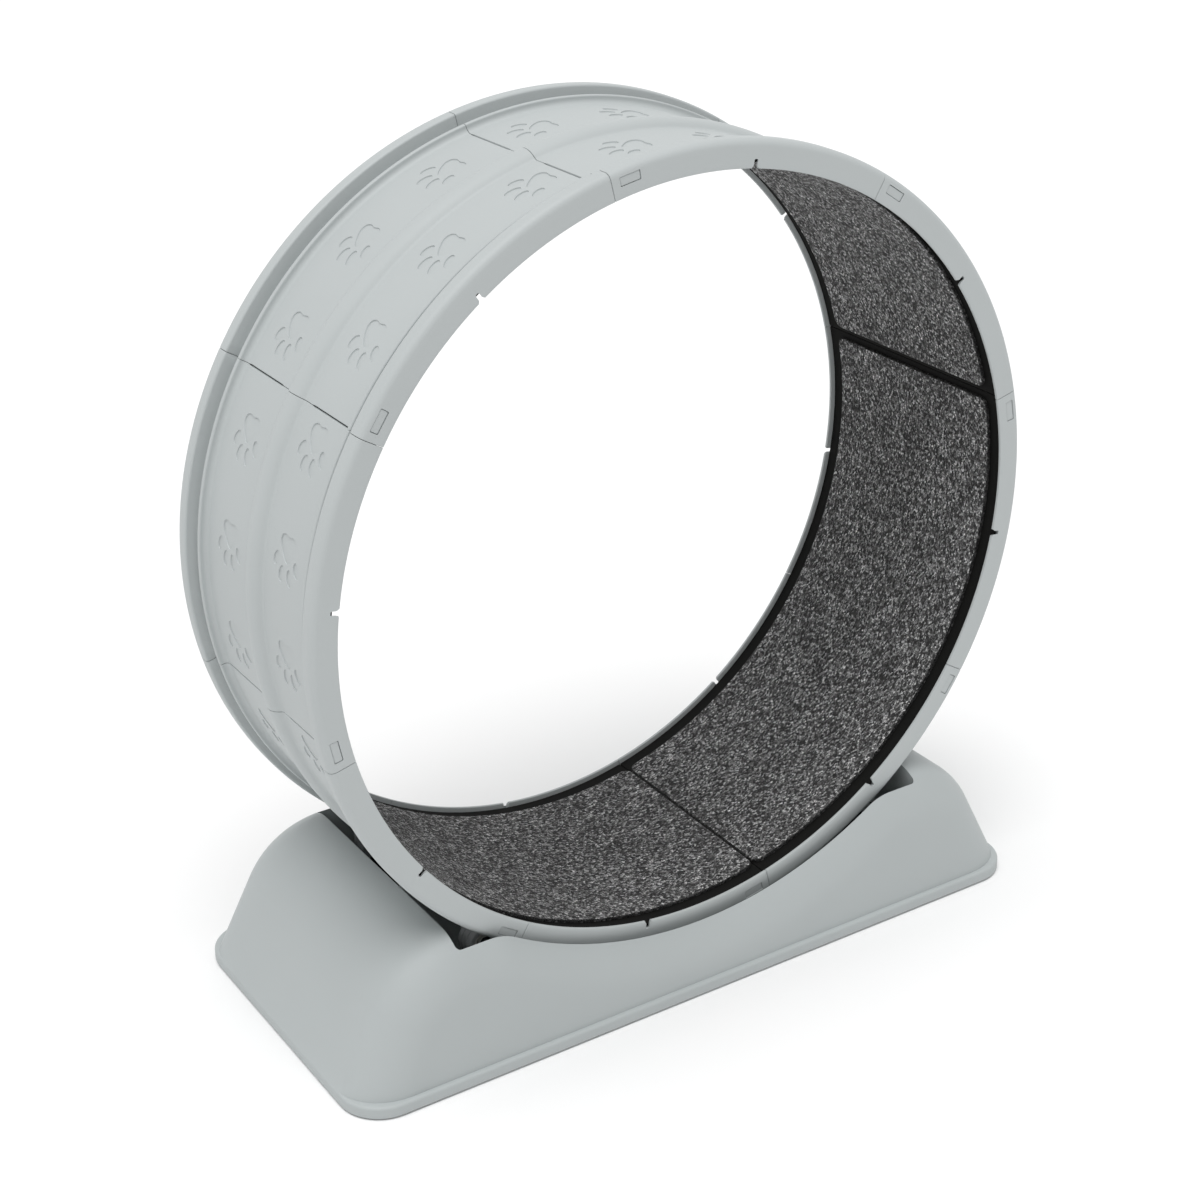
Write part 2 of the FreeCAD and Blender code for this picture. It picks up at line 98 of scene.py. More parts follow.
def use(tree, effect, inputs):
    """Place a node group in a material."""
    made = tree.nodes.new("ShaderNodeGroup")
    made.node_tree = effect
    for name, value in inputs.items():
        if isinstance(value, bpy.types.NodeSocket):
            tree.links.new(value, made.inputs[name])
        else:
            made.inputs[name].default_value = value
    return made.outputs


def ramp(tree, factor, stops):
    """A colour ramp over the factor: stops are (place, colour)."""
    made = node(tree, "ShaderNodeValToRGB", {"Fac": factor})
    band = made.color_ramp
    band.elements[0].position, band.elements[0].color = stops[0][0], grey(stops[0][1])
    band.elements[1].position, band.elements[1].color = stops[-1][0], grey(stops[-1][1])
    for place, colour in stops[1:-1]:
        band.elements.new(place).color = grey(colour)
    return made.outputs["Color"]


def grey(colour):
    """A colour with its alpha, from one level or three."""
    return (colour, colour, colour, 1) if isinstance(colour, float) else (*colour, 1)


# ---------------------------------------------------------------- effects
# the carpet paints shade onto this strip of the sheets' cut edges
EDGE_STRIP = 1.0    # metres up the sheets' map, where their cut edges have a strip


def mould_grain(tree, given):
    """Fine spark-eroded grain, with a slow drift of tone, as on moulded plastic."""
    place = node(tree, "ShaderNodeTexCoord").outputs["Object"]
    fine = node(tree, "ShaderNodeTexNoise", {"Vector": place, "Scale": given["Grain"],
                                             "Detail": 3.0, "Roughness": 0.6})
    slow = node(tree, "ShaderNodeTexNoise", {"Vector": place, "Scale": 7.0, "Detail": 2.0})
    drift = node(tree, "ShaderNodeMath", {0: slow.outputs["Fac"], 1: given["Drift"]},
                 operation="MULTIPLY")
    shade = node(tree, "ShaderNodeMath", {0: drift.outputs[0], 1: 1.0}, operation="ADD")
    half = node(tree, "ShaderNodeMath", {0: given["Drift"], 1: 0.5}, operation="MULTIPLY")
    level = node(tree, "ShaderNodeMath", {0: shade.outputs[0], 1: half.outputs[0]},
                 operation="SUBTRACT")
    colour = node(tree, "ShaderNodeVectorMath", {0: given["Colour"], "Scale": level.outputs[0]},
                  operation="SCALE")
    uneven = node(tree, "ShaderNodeMapRange", {"Value": fine.outputs["Fac"],
                                               "From Min": 0.3, "From Max": 0.7,
                                               "To Min": -0.07, "To Max": 0.07})
    rough = node(tree, "ShaderNodeMath", {0: uneven.outputs[0], 1: given["Rough"]},
                 operation="ADD")
    return {"Colour": colour.outputs[0], "Roughness": rough.outputs[0],
            "Height": fine.outputs["Fac"]}


GRAIN = group("mould_grain",
              [("Colour", (0.5, 0.5, 0.5, 1.0)), ("Grain", 900.0), ("Drift", 0.05),
               ("Rough", 0.53)],
              [("Colour", "NodeSocketColor"), ("Roughness", "NodeSocketFloat"),
               ("Height", "NodeSocketFloat")], mould_grain)


def plastic(colour, drift=0.05, grain=900.0, strength=0.08, specular=0.4, rough=0.53):
    """Moulded plastic of one colour with the grain on it."""
    def build(tree, shader):
        effect = use(tree, GRAIN, {"Colour": grey(colour), "Grain": grain, "Drift": drift,
                                   "Rough": rough})
        tree.links.new(effect["Colour"], shader.inputs["Base Color"])
        tree.links.new(effect["Roughness"], shader.inputs["Roughness"])
        bump = node(tree, "ShaderNodeBump", {"Height": effect["Height"], "Strength": strength,
                                             "Distance": 0.0004})
        tree.links.new(bump.outputs["Normal"], shader.inputs["Normal"])
        shader.inputs["Specular IOR Level"].default_value = specular
    return build


def carpet_finish(tree, shader):
    """Dark grey heather: short loops in rows, each thread its own tone, some nearly white, with
    painted shade in the gaps between loops.
    The sheet's cut edge has its own strip of the map, darkened with painted shade."""
    place = node(tree, "ShaderNodeUVMap", uv_map="sheet").outputs["UV"]
    wander = node(tree, "ShaderNodeTexNoise", {"Vector": place, "Scale": 420.0, "Detail": 1.0})
    pull = node(tree, "ShaderNodeVectorMath", {0: wander.outputs["Color"], "Scale": 0.003},
                operation="SCALE")
    bent = node(tree, "ShaderNodeVectorMath", {0: place, 1: pull.outputs[0]}, operation="ADD")
    rows = node(tree, "ShaderNodeMapping", {"Vector": bent.outputs[0],
                                            "Scale": (380.0, 640.0, 1.0)})
    threads = node(tree, "ShaderNodeTexVoronoi", {"Vector": rows.outputs[0], "Scale": 1.0,
                                                  "Randomness": 0.9}, voronoi_dimensions="2D")
    gaps = node(tree, "ShaderNodeTexVoronoi", {"Vector": rows.outputs[0], "Scale": 1.0,
                                               "Randomness": 0.9},
                voronoi_dimensions="2D", feature="DISTANCE_TO_EDGE")
    tone = ramp(tree, threads.outputs["Color"], [(0.0, 0.02), (0.3, 0.07), (0.5, 0.17),
                                                 (0.7, 0.42), (0.86, 0.85), (1.0, 1.0)])
    slow = node(tree, "ShaderNodeTexNoise", {"Vector": place, "Scale": 26.0, "Detail": 4.0})
    patch = ramp(tree, slow.outputs["Fac"], [(0.3, 0.8), (0.7, 1.15)])
    # painted shade: this ramp darkens the colour in the gaps between loops, and it is also the
    # loops' bump height
    raised = ramp(tree, gaps.outputs["Distance"], [(0.02, 0.12), (0.2, 1.0)])
    axes = node(tree, "ShaderNodeSeparateXYZ", {"Vector": place})
    # painted shade: the sheet's cut edge, on its own strip of the map, is darkened to 0.15 of
    # the colour
    cut = node(tree, "ShaderNodeMath", {0: axes.outputs["Y"], 1: EDGE_STRIP / 2},
               operation="GREATER_THAN")
    shade = node(tree, "ShaderNodeMapRange", {"Value": cut.outputs[0], "To Min": 1.0,
                                              "To Max": 0.15})
    mixed = node(tree, "ShaderNodeVectorMath", {0: tone, 1: patch}, operation="MULTIPLY")
    # the colour with the painted shade of the gaps multiplied in
    deep = node(tree, "ShaderNodeVectorMath", {0: mixed.outputs[0], 1: raised},
                operation="MULTIPLY")
    final = node(tree, "ShaderNodeVectorMath", {0: deep.outputs[0],
                                                "Scale": shade.outputs["Result"]},
                 operation="SCALE")
    tree.links.new(final.outputs[0], shader.inputs["Base Color"])
    bump = node(tree, "ShaderNodeBump", {"Height": raised, "Strength": 1.0, "Distance": 0.0012})
    tree.links.new(bump.outputs["Normal"], shader.inputs["Normal"])
    shader.inputs["Roughness"].default_value = 0.95
    shader.inputs["Sheen Weight"].default_value = 0.1
    shader.inputs["Specular IOR Level"].default_value = 0.1


def metal(colour, rough):
    """Bare metal of one colour with the grain on it."""
    def build(tree, shader):
        effect = use(tree, GRAIN, {"Colour": grey(colour), "Grain": 1500.0, "Drift": 0.1})
        tree.links.new(effect["Colour"], shader.inputs["Base Color"])
        bump = node(tree, "ShaderNodeBump", {"Height": effect["Height"], "Strength": 0.1,
                                             "Distance": 0.0002})
        tree.links.new(bump.outputs["Normal"], shader.inputs["Normal"])
        shader.inputs["Metallic"].default_value = 1.0
        shader.inputs["Roughness"].default_value = rough
    return build


PLASTIC = material("ring_plastic", plastic((0.475, 0.505, 0.507)))
BASE_PLASTIC = material("base_plastic", plastic((0.435, 0.466, 0.468), drift=0.06))
CARPET = material("carpet_pile", carpet_finish)
FOAM = material("backing_foam", plastic((0.008, 0.008, 0.0075), drift=0.2, grain=700.0,
                                        strength=0.2, specular=0.12, rough=0.85))
BRACKET = material("bracket_black", plastic((0.02, 0.021, 0.022), drift=0.1))
NYLON = material("hub_nylon", plastic((0.62, 0.61, 0.57), drift=0.06))
TYRE = material("tyre_rubber", plastic((0.36, 0.37, 0.375), drift=0.15, strength=0.15))
FOOT = material("foot_rubber", plastic((0.02, 0.02, 0.02), drift=0.2, strength=0.2))
STEEL = material("pin_steel", metal((0.6, 0.6, 0.61), 0.32))


# ---------------------------------------------------------------- mesh helpers
def on_ring(angle, across, radius):
    """A place on the wheel: degrees clockwise of straight up, and millimetres."""
    turn = math.radians(angle)
    return Vector((radius * math.sin(turn), across, radius * math.cos(turn))) * MM


def arc(centre, radius, start, end, steps):
    """Points of an arc in the section: centre, radius and two angles in degrees."""
    return [(centre[0] + radius * math.cos(math.radians(start + (end - start) * i / steps)),
             centre[1] + radius * math.sin(math.radians(start + (end - start) * i / steps)))
            for i in range(steps + 1)]


def spread(start, end, count):
    """Evenly spaced values from start to end."""
    return [start + (end - start) * i / count for i in range(count + 1)]


def corners(mesh, places):
    """New corners of the mesh at these places."""
    return [mesh.verts.new(place) for place in places]


def skin(mesh, rows, closed=True):
    """Quads between neighbouring rows of corners, all the way round if they are loops."""
    for low, high in zip(rows, rows[1:]):
        for i in range(len(low) if closed else len(low) - 1):
            j = (i + 1) % len(low)
            mesh.faces.new([low[i], low[j], high[j], high[i]])


def loop_edges(first, count, closed=True):
    """Pairs of neighbouring points, counted from first."""
    return [(first + i, first + (i + 1) % count) for i in range(count if closed else count - 1)]


def patch(mesh, faces, places):
    """Triangles over these places."""
    made = corners(mesh, places)
    for face in faces:
        mesh.faces.new([made[i] for i in face])


def finish_mesh(mesh, name, finish, sharp=35.0):
    """Clean the mesh up, give it its finish and keep edges past the sharp angle crisp."""
    bmesh.ops.remove_doubles(mesh, verts=mesh.verts, dist=0.00001)
    bmesh.ops.dissolve_degenerate(mesh, edges=mesh.edges, dist=0.000005)
    bmesh.ops.recalc_face_normals(mesh, faces=mesh.faces)
    data = bpy.data.meshes.new(name)
    mesh.to_mesh(data)
    mesh.free()
    data.materials.append(finish)
    data.shade_smooth()
    data.set_sharp_from_angle(angle=math.radians(sharp))
    return data


def piece(name, data, body, turn=0.0, centre=(0.0, 0.0, 0.0)):
    """A copy of this mesh, turned about its Y axis and set in place, riding on a body."""
    shape = data.copy()
    shape.name = name
    shape.transform(Matrix.Translation(centre) @ Matrix.Rotation(math.radians(turn), 4, "Y"))
    made = bpy.data.objects.new(name, shape)
    bpy.context.collection.objects.link(made)
    bpy.context.view_layer.update()
    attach(made, body)
    return made


def rounded_outline(half_long, half_wide, corner, steps):
    """A rounded rectangle as a loop of (along, across)."""
    loop = []
    for sign_x, sign_y, start in ((1, 1, 0), (-1, 1, 90), (-1, -1, 180), (1, -1, 270)):
        middle = (sign_x * (half_long - corner), sign_y * (half_wide - corner))
        loop += arc(middle, corner, start, start + 90, steps)
    return loop


# ---------------------------------------------------------------- paw prints
# Places are (towards the toes, across) in millimetres; a toe's row also has its half length,
# its half width and its tilt in degrees.
PAD_SIDE = [(12.5, 0.0), (7.0, 7.4), (-3.5, 14.0), (-10.6, 13.0), (-13.3, 7.2), (-12.2, 0.0)]
TOES = [(23.5, 7.4, 8.2, 4.7, 12.0), (12.6, 18.6, 7.6, 4.8, 24.0)]
PAW_DEPTH = 1.1
PAW_WALL = 0.35
PAW_PITCH = 15.0
PAW_ACROSS = 56.0
PAW_LEAD = {1: 7.5, -1: 11.5}
PAWS_IN_BAND = 3
TOE_STEPS = 22
CLEAR_OF_PAW = 1.6


def closed_curve(points, steps):
    """A smooth closed curve through the points."""
    count = len(points)
    curve = []
    for i in range(count):
        before, start, end, after = (points[(i + k - 1) % count] for k in range(4))
        for j in range(steps):
            t = j / steps
            curve.append(tuple(
                0.5 * (2 * start[k] + (end[k] - before[k]) * t
                       + (2 * before[k] - 5 * start[k] + 4 * end[k] - after[k]) * t * t
                       + (3 * start[k] - before[k] - 3 * end[k] + after[k]) * t ** 3)
                for k in (0, 1)))
    return curve


def paw_outlines():
    """The pad and four toes of a print: loops of (towards the toes, across) in mm."""
    mirrored = [(along, -across) for along, across in PAD_SIDE[-2:0:-1]]
    loops = [closed_curve(PAD_SIDE + mirrored, 5)]
    for side in (-1, 1):
        for along, across, long, wide, tilt in TOES:
            turn = math.radians(tilt * side)
            loop = []
            for i in range(TOE_STEPS):
                at = math.tau * i / TOE_STEPS
                u, v = long * math.cos(at), wide * math.sin(at)
                loop.append((along + u * math.cos(turn) - v * math.sin(turn),
                             side * across + u * math.sin(turn) + v * math.cos(turn)))
            loops.append(loop)
    return loops


def inset(loop, amount):
    """The loop drawn in by an even amount; the loop runs anticlockwise or clockwise."""
    area = sum(a[0] * b[1] - b[0] * a[1] for a, b in zip(loop, loop[1:] + loop[:1]))
    side = 1 if area > 0 else -1
    drawn = []
    for before, here, after in zip(loop[-1:] + loop[:-1], loop, loop[1:] + loop[:1]):
        run = Vector((after[0] - before[0], after[1] - before[1])).normalized()
        drawn.append((here[0] - run.y * amount * side, here[1] + run.x * amount * side))
    return drawn


def inside(point, loop):
    """Whether the point lies inside the closed loop."""
    hit = False
    for (ax, ay), (bx, by) in zip(loop, loop[1:] + loop[:1]):
        if (ay > point[1]) != (by > point[1]):
            if point[0] < (bx - ax) * (point[1] - ay) / (by - ay) + ax:
                hit = not hit
    return hit


def near(point, loops, reach):
    """Whether the point is within reach of any point of the loops."""
    return any((point[0] - x) ** 2 + (point[1] - y) ** 2 < reach * reach
               for loop in loops for x, y in loop)


def triangles(points, edges):
    """Flat points, the triangles over them that keep the given edges, and each point's
    place in the points that were given."""
    flat = [Vector(point) for point in points]
    found = delaunay_2d_cdt(flat, edges, [], 1, 1e-6)
    return [tuple(v) for v in found[0]], found[2], found[3]


# ---------------------------------------------------------------- the ring's section
RIDGE = 18.0
RIDGE_CREST = BAND_RADIUS + 8.0
BLEND = 6.0
RAIL = (104.5, 109.5)
RAIL_CREST = BAND_RADIUS + 8.0
FLANGE = 121.0
CORNER = 6.5
LIP_ROUND = 0.8
RAIL_FOOT = 5.5
RAIL_ROUND = 1.6
FLANGE_FOOT = 1.0
FLANGE_ROUND = 2.5
NOTCH_DEPTH = 8.5


def section_spans():
    """The section from the ridge's crest out to the lip and back inside, in named spans
    of (across, radius)."""
    centre = RIDGE_CREST - RIDGE
    foot = math.sqrt((RIDGE + BLEND) ** 2 - (BAND_RADIUS + BLEND - centre) ** 2)
    lean = math.degrees(math.atan2(BAND_RADIUS + BLEND - centre, foot))
    ridge = arc((0, centre), RIDGE, 90, lean, 8)
    ridge += arc((foot, BAND_RADIUS + BLEND), BLEND, lean + 180, 270, 6)[1:]
    band_end = RAIL[0] - RAIL_FOOT
    band = [(across, BAND_RADIUS) for across in spread(foot, band_end, 16)]
    outer = arc((band_end, BAND_RADIUS + RAIL_FOOT), RAIL_FOOT, 270, 360, 6)
    outer += arc((RAIL[0] + RAIL_ROUND, RAIL_CREST - RAIL_ROUND), RAIL_ROUND, 180, 90, 4)
    outer += arc((RAIL[1] - RAIL_ROUND, RAIL_CREST - RAIL_ROUND), RAIL_ROUND, 90, 0, 4)
    outer += arc((RAIL[1] + FLANGE_FOOT, BAND_RADIUS + FLANGE_FOOT), FLANGE_FOOT, 180, 270, 2)
    outer += arc((FLANGE - FLANGE_FOOT, BAND_RADIUS + FLANGE_FOOT), FLANGE_FOOT, 270, 360, 2)
    outer += arc((FLANGE + FLANGE_ROUND, RIM_RADIUS - FLANGE_ROUND), FLANGE_ROUND, 180, 90, 4)
    outer += arc((HALF_WIDTH - CORNER, RIM_RADIUS - CORNER), CORNER, 90, 0, 8)
    plate = [(HALF_WIDTH, radius)
             for radius in spread(RIM_RADIUS - CORNER, LIP_RADIUS + LIP_ROUND, 5)]
    lip = arc((HALF_WIDTH - LIP_ROUND, LIP_RADIUS + LIP_ROUND), LIP_ROUND, 0, -90, 3)
    lip += arc((HALF_WIDTH - WALL + LIP_ROUND, LIP_RADIUS + LIP_ROUND), LIP_ROUND, -90, -180, 3)
    lip += [(HALF_WIDTH - WALL, LIP_RADIUS + NOTCH_DEPTH)]
    floor = BAND_RADIUS - WALL
    under = [lip[-1], (HALF_WIDTH - WALL, RIM_RADIUS - CORNER),
             (HALF_WIDTH - CORNER, RIM_RADIUS - WALL), (FLANGE + WALL, RIM_RADIUS - WALL),
             (FLANGE + WALL, floor), (RIDGE - WALL, floor), (0, RIDGE_CREST - WALL - 2)]
    return [("strip", ridge), ("band", band), ("strip", outer), ("plate", plate),
            ("lip", lip), ("under", under)]


NOTCH_HALF = 2.0
NOTCH_MOUTH = 3.8
NOTCH_DRAFT = 1.2
NOTCH_SKIP = 0.1
SEAM_GAP = 0.5
END_BEVEL = 0.45
BEVEL_INWARD = 0.7
SLIT = (30.0, 96.0)
SLIT_HALF = 0.7
ROWS = 36
WINDOW = (21.4, 8.8)
WINDOW_RADIUS = RIM_RADIUS - 11.3
WINDOW_CORNER = 1.0
WINDOW_BACK = 19.0
BOSS_GAP = 0.4
BOSS_RECESS = 0.6
BOSS_BEVEL = 0.4
PANE_BACK = WALL - 0.1
CLEAR_OF_HOLE = 1.5


def degrees(length, radius):
    """The angle of an arc of this length."""
    return math.degrees(length / radius)


HALF_SEGMENT = SEGMENT_ANGLE / 2 - degrees(SEAM_GAP / 2, RIM_RADIUS)
FULL_HALF = HALF_SEGMENT - degrees(END_BEVEL, RIM_RADIUS)


def row_angles():
    """The angles of a segment's rows, from one end to the other."""
    return spread(-FULL_HALF, FULL_HALF, ROWS)


def end_setback(across, radius):
    """How many degrees a segment's end stands back at the open slits across the bands."""
    open_here = SLIT[0] < abs(across) < SLIT[1] and radius > BAND_RADIUS - 1.0
    return degrees(SLIT_HALF, BAND_RADIUS) if open_here else 0.0


def band_patch(mesh, side):
    """One band with its three sunk paw prints, between the ridge and the rail."""
    acrosses = [across for across, radius in dict(section_spans())["band"]]
    scale = math.radians(1) * BAND_RADIUS
    rims = []
    for index in range(PAWS_IN_BAND):
        middle = -SEGMENT_ANGLE / 2 + PAW_LEAD[side] + PAW_PITCH * index
        for loop in paw_outlines():
            rims.append([(middle * scale - along, PAW_ACROSS + across * side)
                         for along, across in loop])
    floors = [inset(loop, PAW_WALL) for loop in rims]
    points, edges, depths = [], [], []

    def add_loop(loop, depth):
        edges.extend(loop_edges(len(points), len(loop)))
        points.extend(loop)
        depths.extend([depth] * len(loop))

    for rim, floor in zip(rims, floors):
        add_loop(rim, 0.0)
        add_loop(floor, PAW_DEPTH)
    stride = row_angles()
    border = [(angle * scale, acrosses[0]) for angle in stride]
    border += [((stride[-1] - end_setback(across, BAND_RADIUS)) * scale, across)
               for across in acrosses[1:]]
    border += [(angle * scale, acrosses[-1]) for angle in stride[-2::-1]]
    border += [((stride[0] + end_setback(across, BAND_RADIUS)) * scale, across)
               for across in acrosses[-2:0:-1]]
    add_loop(border, 0.0)
    for angle in stride[1:-1]:
        for across in acrosses[1:-1]:
            point = (angle * scale, across)
            if near(point, rims + floors, CLEAR_OF_PAW):
                continue
            in_paw = any(inside(point, floor) for floor in floors)
            points.append(point)
            depths.append(PAW_DEPTH if in_paw else 0.0)
    flat, faces, origins = triangles(points, edges)
    sunk = [depths[source[0]] if source else 0.0 for source in origins]
    patch(mesh, faces, [on_ring(along / scale, across * side, BAND_RADIUS - depth)
                        for (along, across), depth in zip(flat, sunk)])


def window_loop(shrink=0.0):
    """The snap window's outline about its middle, in millimetres, corners rounded."""
    half_long, half_high = WINDOW[0] / 2 - shrink, WINDOW[1] / 2 - shrink
    return rounded_outline(half_long, half_high, WINDOW_CORNER, 3)


def notch_loop(draft=0.0):
    """The notch's outline from its flared mouth up and back down: (mm along, radius)."""
    low, top = LIP_RADIUS + LIP_ROUND, LIP_RADIUS + NOTCH_DEPTH
    half = NOTCH_HALF + draft
    right = [(NOTCH_MOUTH, low), (half + (NOTCH_MOUTH - half) * 0.3, low + 1.2),
             (half, low + 2.6), (half, top - 0.8), (half - 0.8, top)]
    return [(-along, radius) for along, radius in right] + right[::-1]


def notched_rows():
    """The rows of the lip, with two more at the sides of the notch's mouth."""
    half = degrees(NOTCH_MOUTH, WINDOW_RADIUS)
    return sorted([angle for angle in row_angles() if abs(angle) > half] + [-half, half])


def face_plate(mesh, side):
    """The ring's flat face, with the snap window's hole and the slot of the notch."""
    spans = dict(section_spans())
    radii = [radius for across, radius in spans["plate"]]
    scale = math.radians(1) * WINDOW_RADIUS
    middle = -SEGMENT_ANGLE / 2 * scale + WINDOW_BACK
    window = [(middle + x, WINDOW_RADIUS + y) for x, y in window_loop()]
    notch = notch_loop()
    angles = notched_rows()
    low, high = radii[-1], radii[0]
    border = [(angle * scale, low) for angle in angles]
    border += [(angles[-1] * scale, radius) for radius in radii[-2::-1]]
    border += [(angle * scale, high) for angle in row_angles()[-2::-1]]
    border += [(angles[0] * scale, radius) for radius in radii[1:-1]]
    points, edges = [], []
    for loop, closed in ((window, True), (border, True), (notch, False)):
        edges.extend(loop_edges(len(points), len(loop), closed))
        points.extend(loop)
    for angle in row_angles()[1:-1]:
        for radius in radii[1:-1]:
            point = (angle * scale, radius)
            if near(point, [window, notch], CLEAR_OF_HOLE):
                continue
            if not inside(point, window) and not inside(point, notch):
                points.append(point)
    flat, faces, origins = triangles(points, edges)
    kept = []
    for face in faces:
        centre = (sum(flat[i][0] for i in face) / 3, sum(flat[i][1] for i in face) / 3)
        if not inside(centre, window) and not inside(centre, notch):
            kept.append(face)
    patch(mesh, kept, [on_ring(x / scale, HALF_WIDTH * side, r) for x, r in flat])
    walls(mesh, window, window, side, True)
    walls(mesh, notch, notch_loop(NOTCH_DRAFT), side, False)
    mesh.faces.new(corners(mesh, [on_ring(x / scale, (HALF_WIDTH - PANE_BACK) * side, r)
                                  for x, r in window]))
    notch_sides(mesh, spans["lip"], side)


def notch_sides(mesh, lip, side):
    """Close the lip and the wall's inner face beside the notch's mouth."""
    scale = math.radians(1) * WINDOW_RADIUS
    inner = notch_loop(NOTCH_DRAFT)
    for sign, half in ((-1, inner[:5]), (1, inner[5:][::-1])):
        mesh.faces.new(corners(mesh, [on_ring(sign * NOTCH_MOUTH / scale, across * side, radius)
                                      for across, radius in lip[:-1]]))
        back = half + [(sign * NOTCH_MOUTH, LIP_RADIUS + NOTCH_DEPTH)]
        mesh.faces.new(corners(mesh, [on_ring(x / scale, (HALF_WIDTH - WALL) * side, radius)
                                      for x, radius in back]))


def walls(mesh, front, back, side, closed):
    """The cut edge through the face wall, between two loops of (mm along, radius)."""
    scale = math.radians(1) * WINDOW_RADIUS
    skin(mesh, [corners(mesh, [on_ring(x / scale, across * side, r) for x, r in loop])
                for loop, across in ((front, HALF_WIDTH), (back, HALF_WIDTH - WALL))], closed)


def sweep(mesh, points, angles, side, skip=None):
    """Quads along the ring between neighbouring section points. Those whose middle is
    within skip degrees of the segment's middle are left out."""
    rows = [corners(mesh, [on_ring(angle, across * side, radius) for across, radius in points])
            for angle in angles]
    for index in range(len(rows) - 1):
        if skip and abs(angles[index] + angles[index + 1]) / 2 < skip:
            continue
        skin(mesh, rows[index:index + 2], False)


def end_face(mesh, spans, sign):
    """The bevelled end of a segment: the outline drawn in a little, and the cut face."""
    half = [point for kind, points in spans for point in points]
    loop = half + [(-across, radius) for across, radius in half[-2:0:-1]]
    clean = [point for i, point in enumerate(loop) if math.dist(point, loop[i - 1]) > 0.01]
    drawn = inset(clean, END_BEVEL * BEVEL_INWARD)
    skin(mesh, [corners(mesh, [on_ring(sign * (end - end_setback(a, r)), a, r) for a, r in loop])
                for loop, end in ((clean, FULL_HALF), (drawn, HALF_SEGMENT))])
    flat, faces, origins = triangles(drawn, loop_edges(0, len(drawn)))
    patch(mesh, faces, [on_ring(sign * (HALF_SEGMENT - end_setback(a, r)), a, r)
                        for a, r in flat])


def boss(mesh, side):
    """The raised block on the tongue, that fills the next segment's window."""
    scale = math.radians(1) * WINDOW_RADIUS
    middle = SEGMENT_ANGLE / 2 * scale + WINDOW_BACK
    levels = ((HALF_WIDTH - WALL - 0.5, BOSS_GAP),
              (HALF_WIDTH - BOSS_RECESS - BOSS_BEVEL, BOSS_GAP),
              (HALF_WIDTH - BOSS_RECESS, BOSS_GAP + BOSS_BEVEL))
    rings = [corners(mesh, [on_ring((middle + x) / scale, level * side, WINDOW_RADIUS + y)
                            for x, y in window_loop(shrink)]) for level, shrink in levels]
    skin(mesh, rings)
    mesh.faces.new(rings[-1])


def segment_mesh():
    """One segment of the ring about straight up, with the axle at the origin."""
    mesh = bmesh.new()
    spans = section_spans()
    for side in (1, -1):
        for kind, points in spans:
            if kind == "band":
                band_patch(mesh, side)
            elif kind == "plate":
                face_plate(mesh, side)
            elif kind == "lip":
                sweep(mesh, points, notched_rows(), side, NOTCH_SKIP)
            else:
                sweep(mesh, points, row_angles(), side)
        boss(mesh, side)
    for sign in (1, -1):
        end_face(mesh, spans, sign)
    return finish_mesh(mesh, "ring_segment", PLASTIC)


def make_ring():
    """Eight turned copies of the segment."""
    data = segment_mesh()
    for index in range(SEGMENTS):
        turn = 90 - FIRST_SEAM + SEGMENT_ANGLE * (index + 0.5)
        name = "ring_segment_%d" % (index + 1)
        made = piece(name, data, "wheel", turn, (0, 0, AXLE_HEIGHT))
        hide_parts("wheel_segment_%d" % (index + 1))


# ---------------------------------------------------------------- lining
LINING_GAP = 0.3
BACKING_BOTTOM = BAND_RADIUS - WALL - LINING_GAP
BACKING_TOP = BACKING_BOTTOM - 2.7
BACKING_EDGE = HALF_WIDTH - WALL - 0.4
BACKING_CORNER = 2.0
BACKING_JOINT = 1.0
BACKING_SOFT = 0.6
CARPET_BOTTOM = BACKING_TOP - LINING_GAP
CARPET_TOP = CARPET_BOTTOM - 3.2
CARPET_EDGE = HALF_WIDTH - 20.0
CARPET_CORNER = 10.0
CARPET_JOINT = 1.5
CARPET_SOFT = 1.0
WIDE_JOINT = 13.0
SHARP_SHEET_EDGE = 50.0
OUTLINE_STEP = 6.0
COLUMN_STEP = 3.0
ACROSS_STEPS = 24
CLEAR_OF_EDGE = 2.5


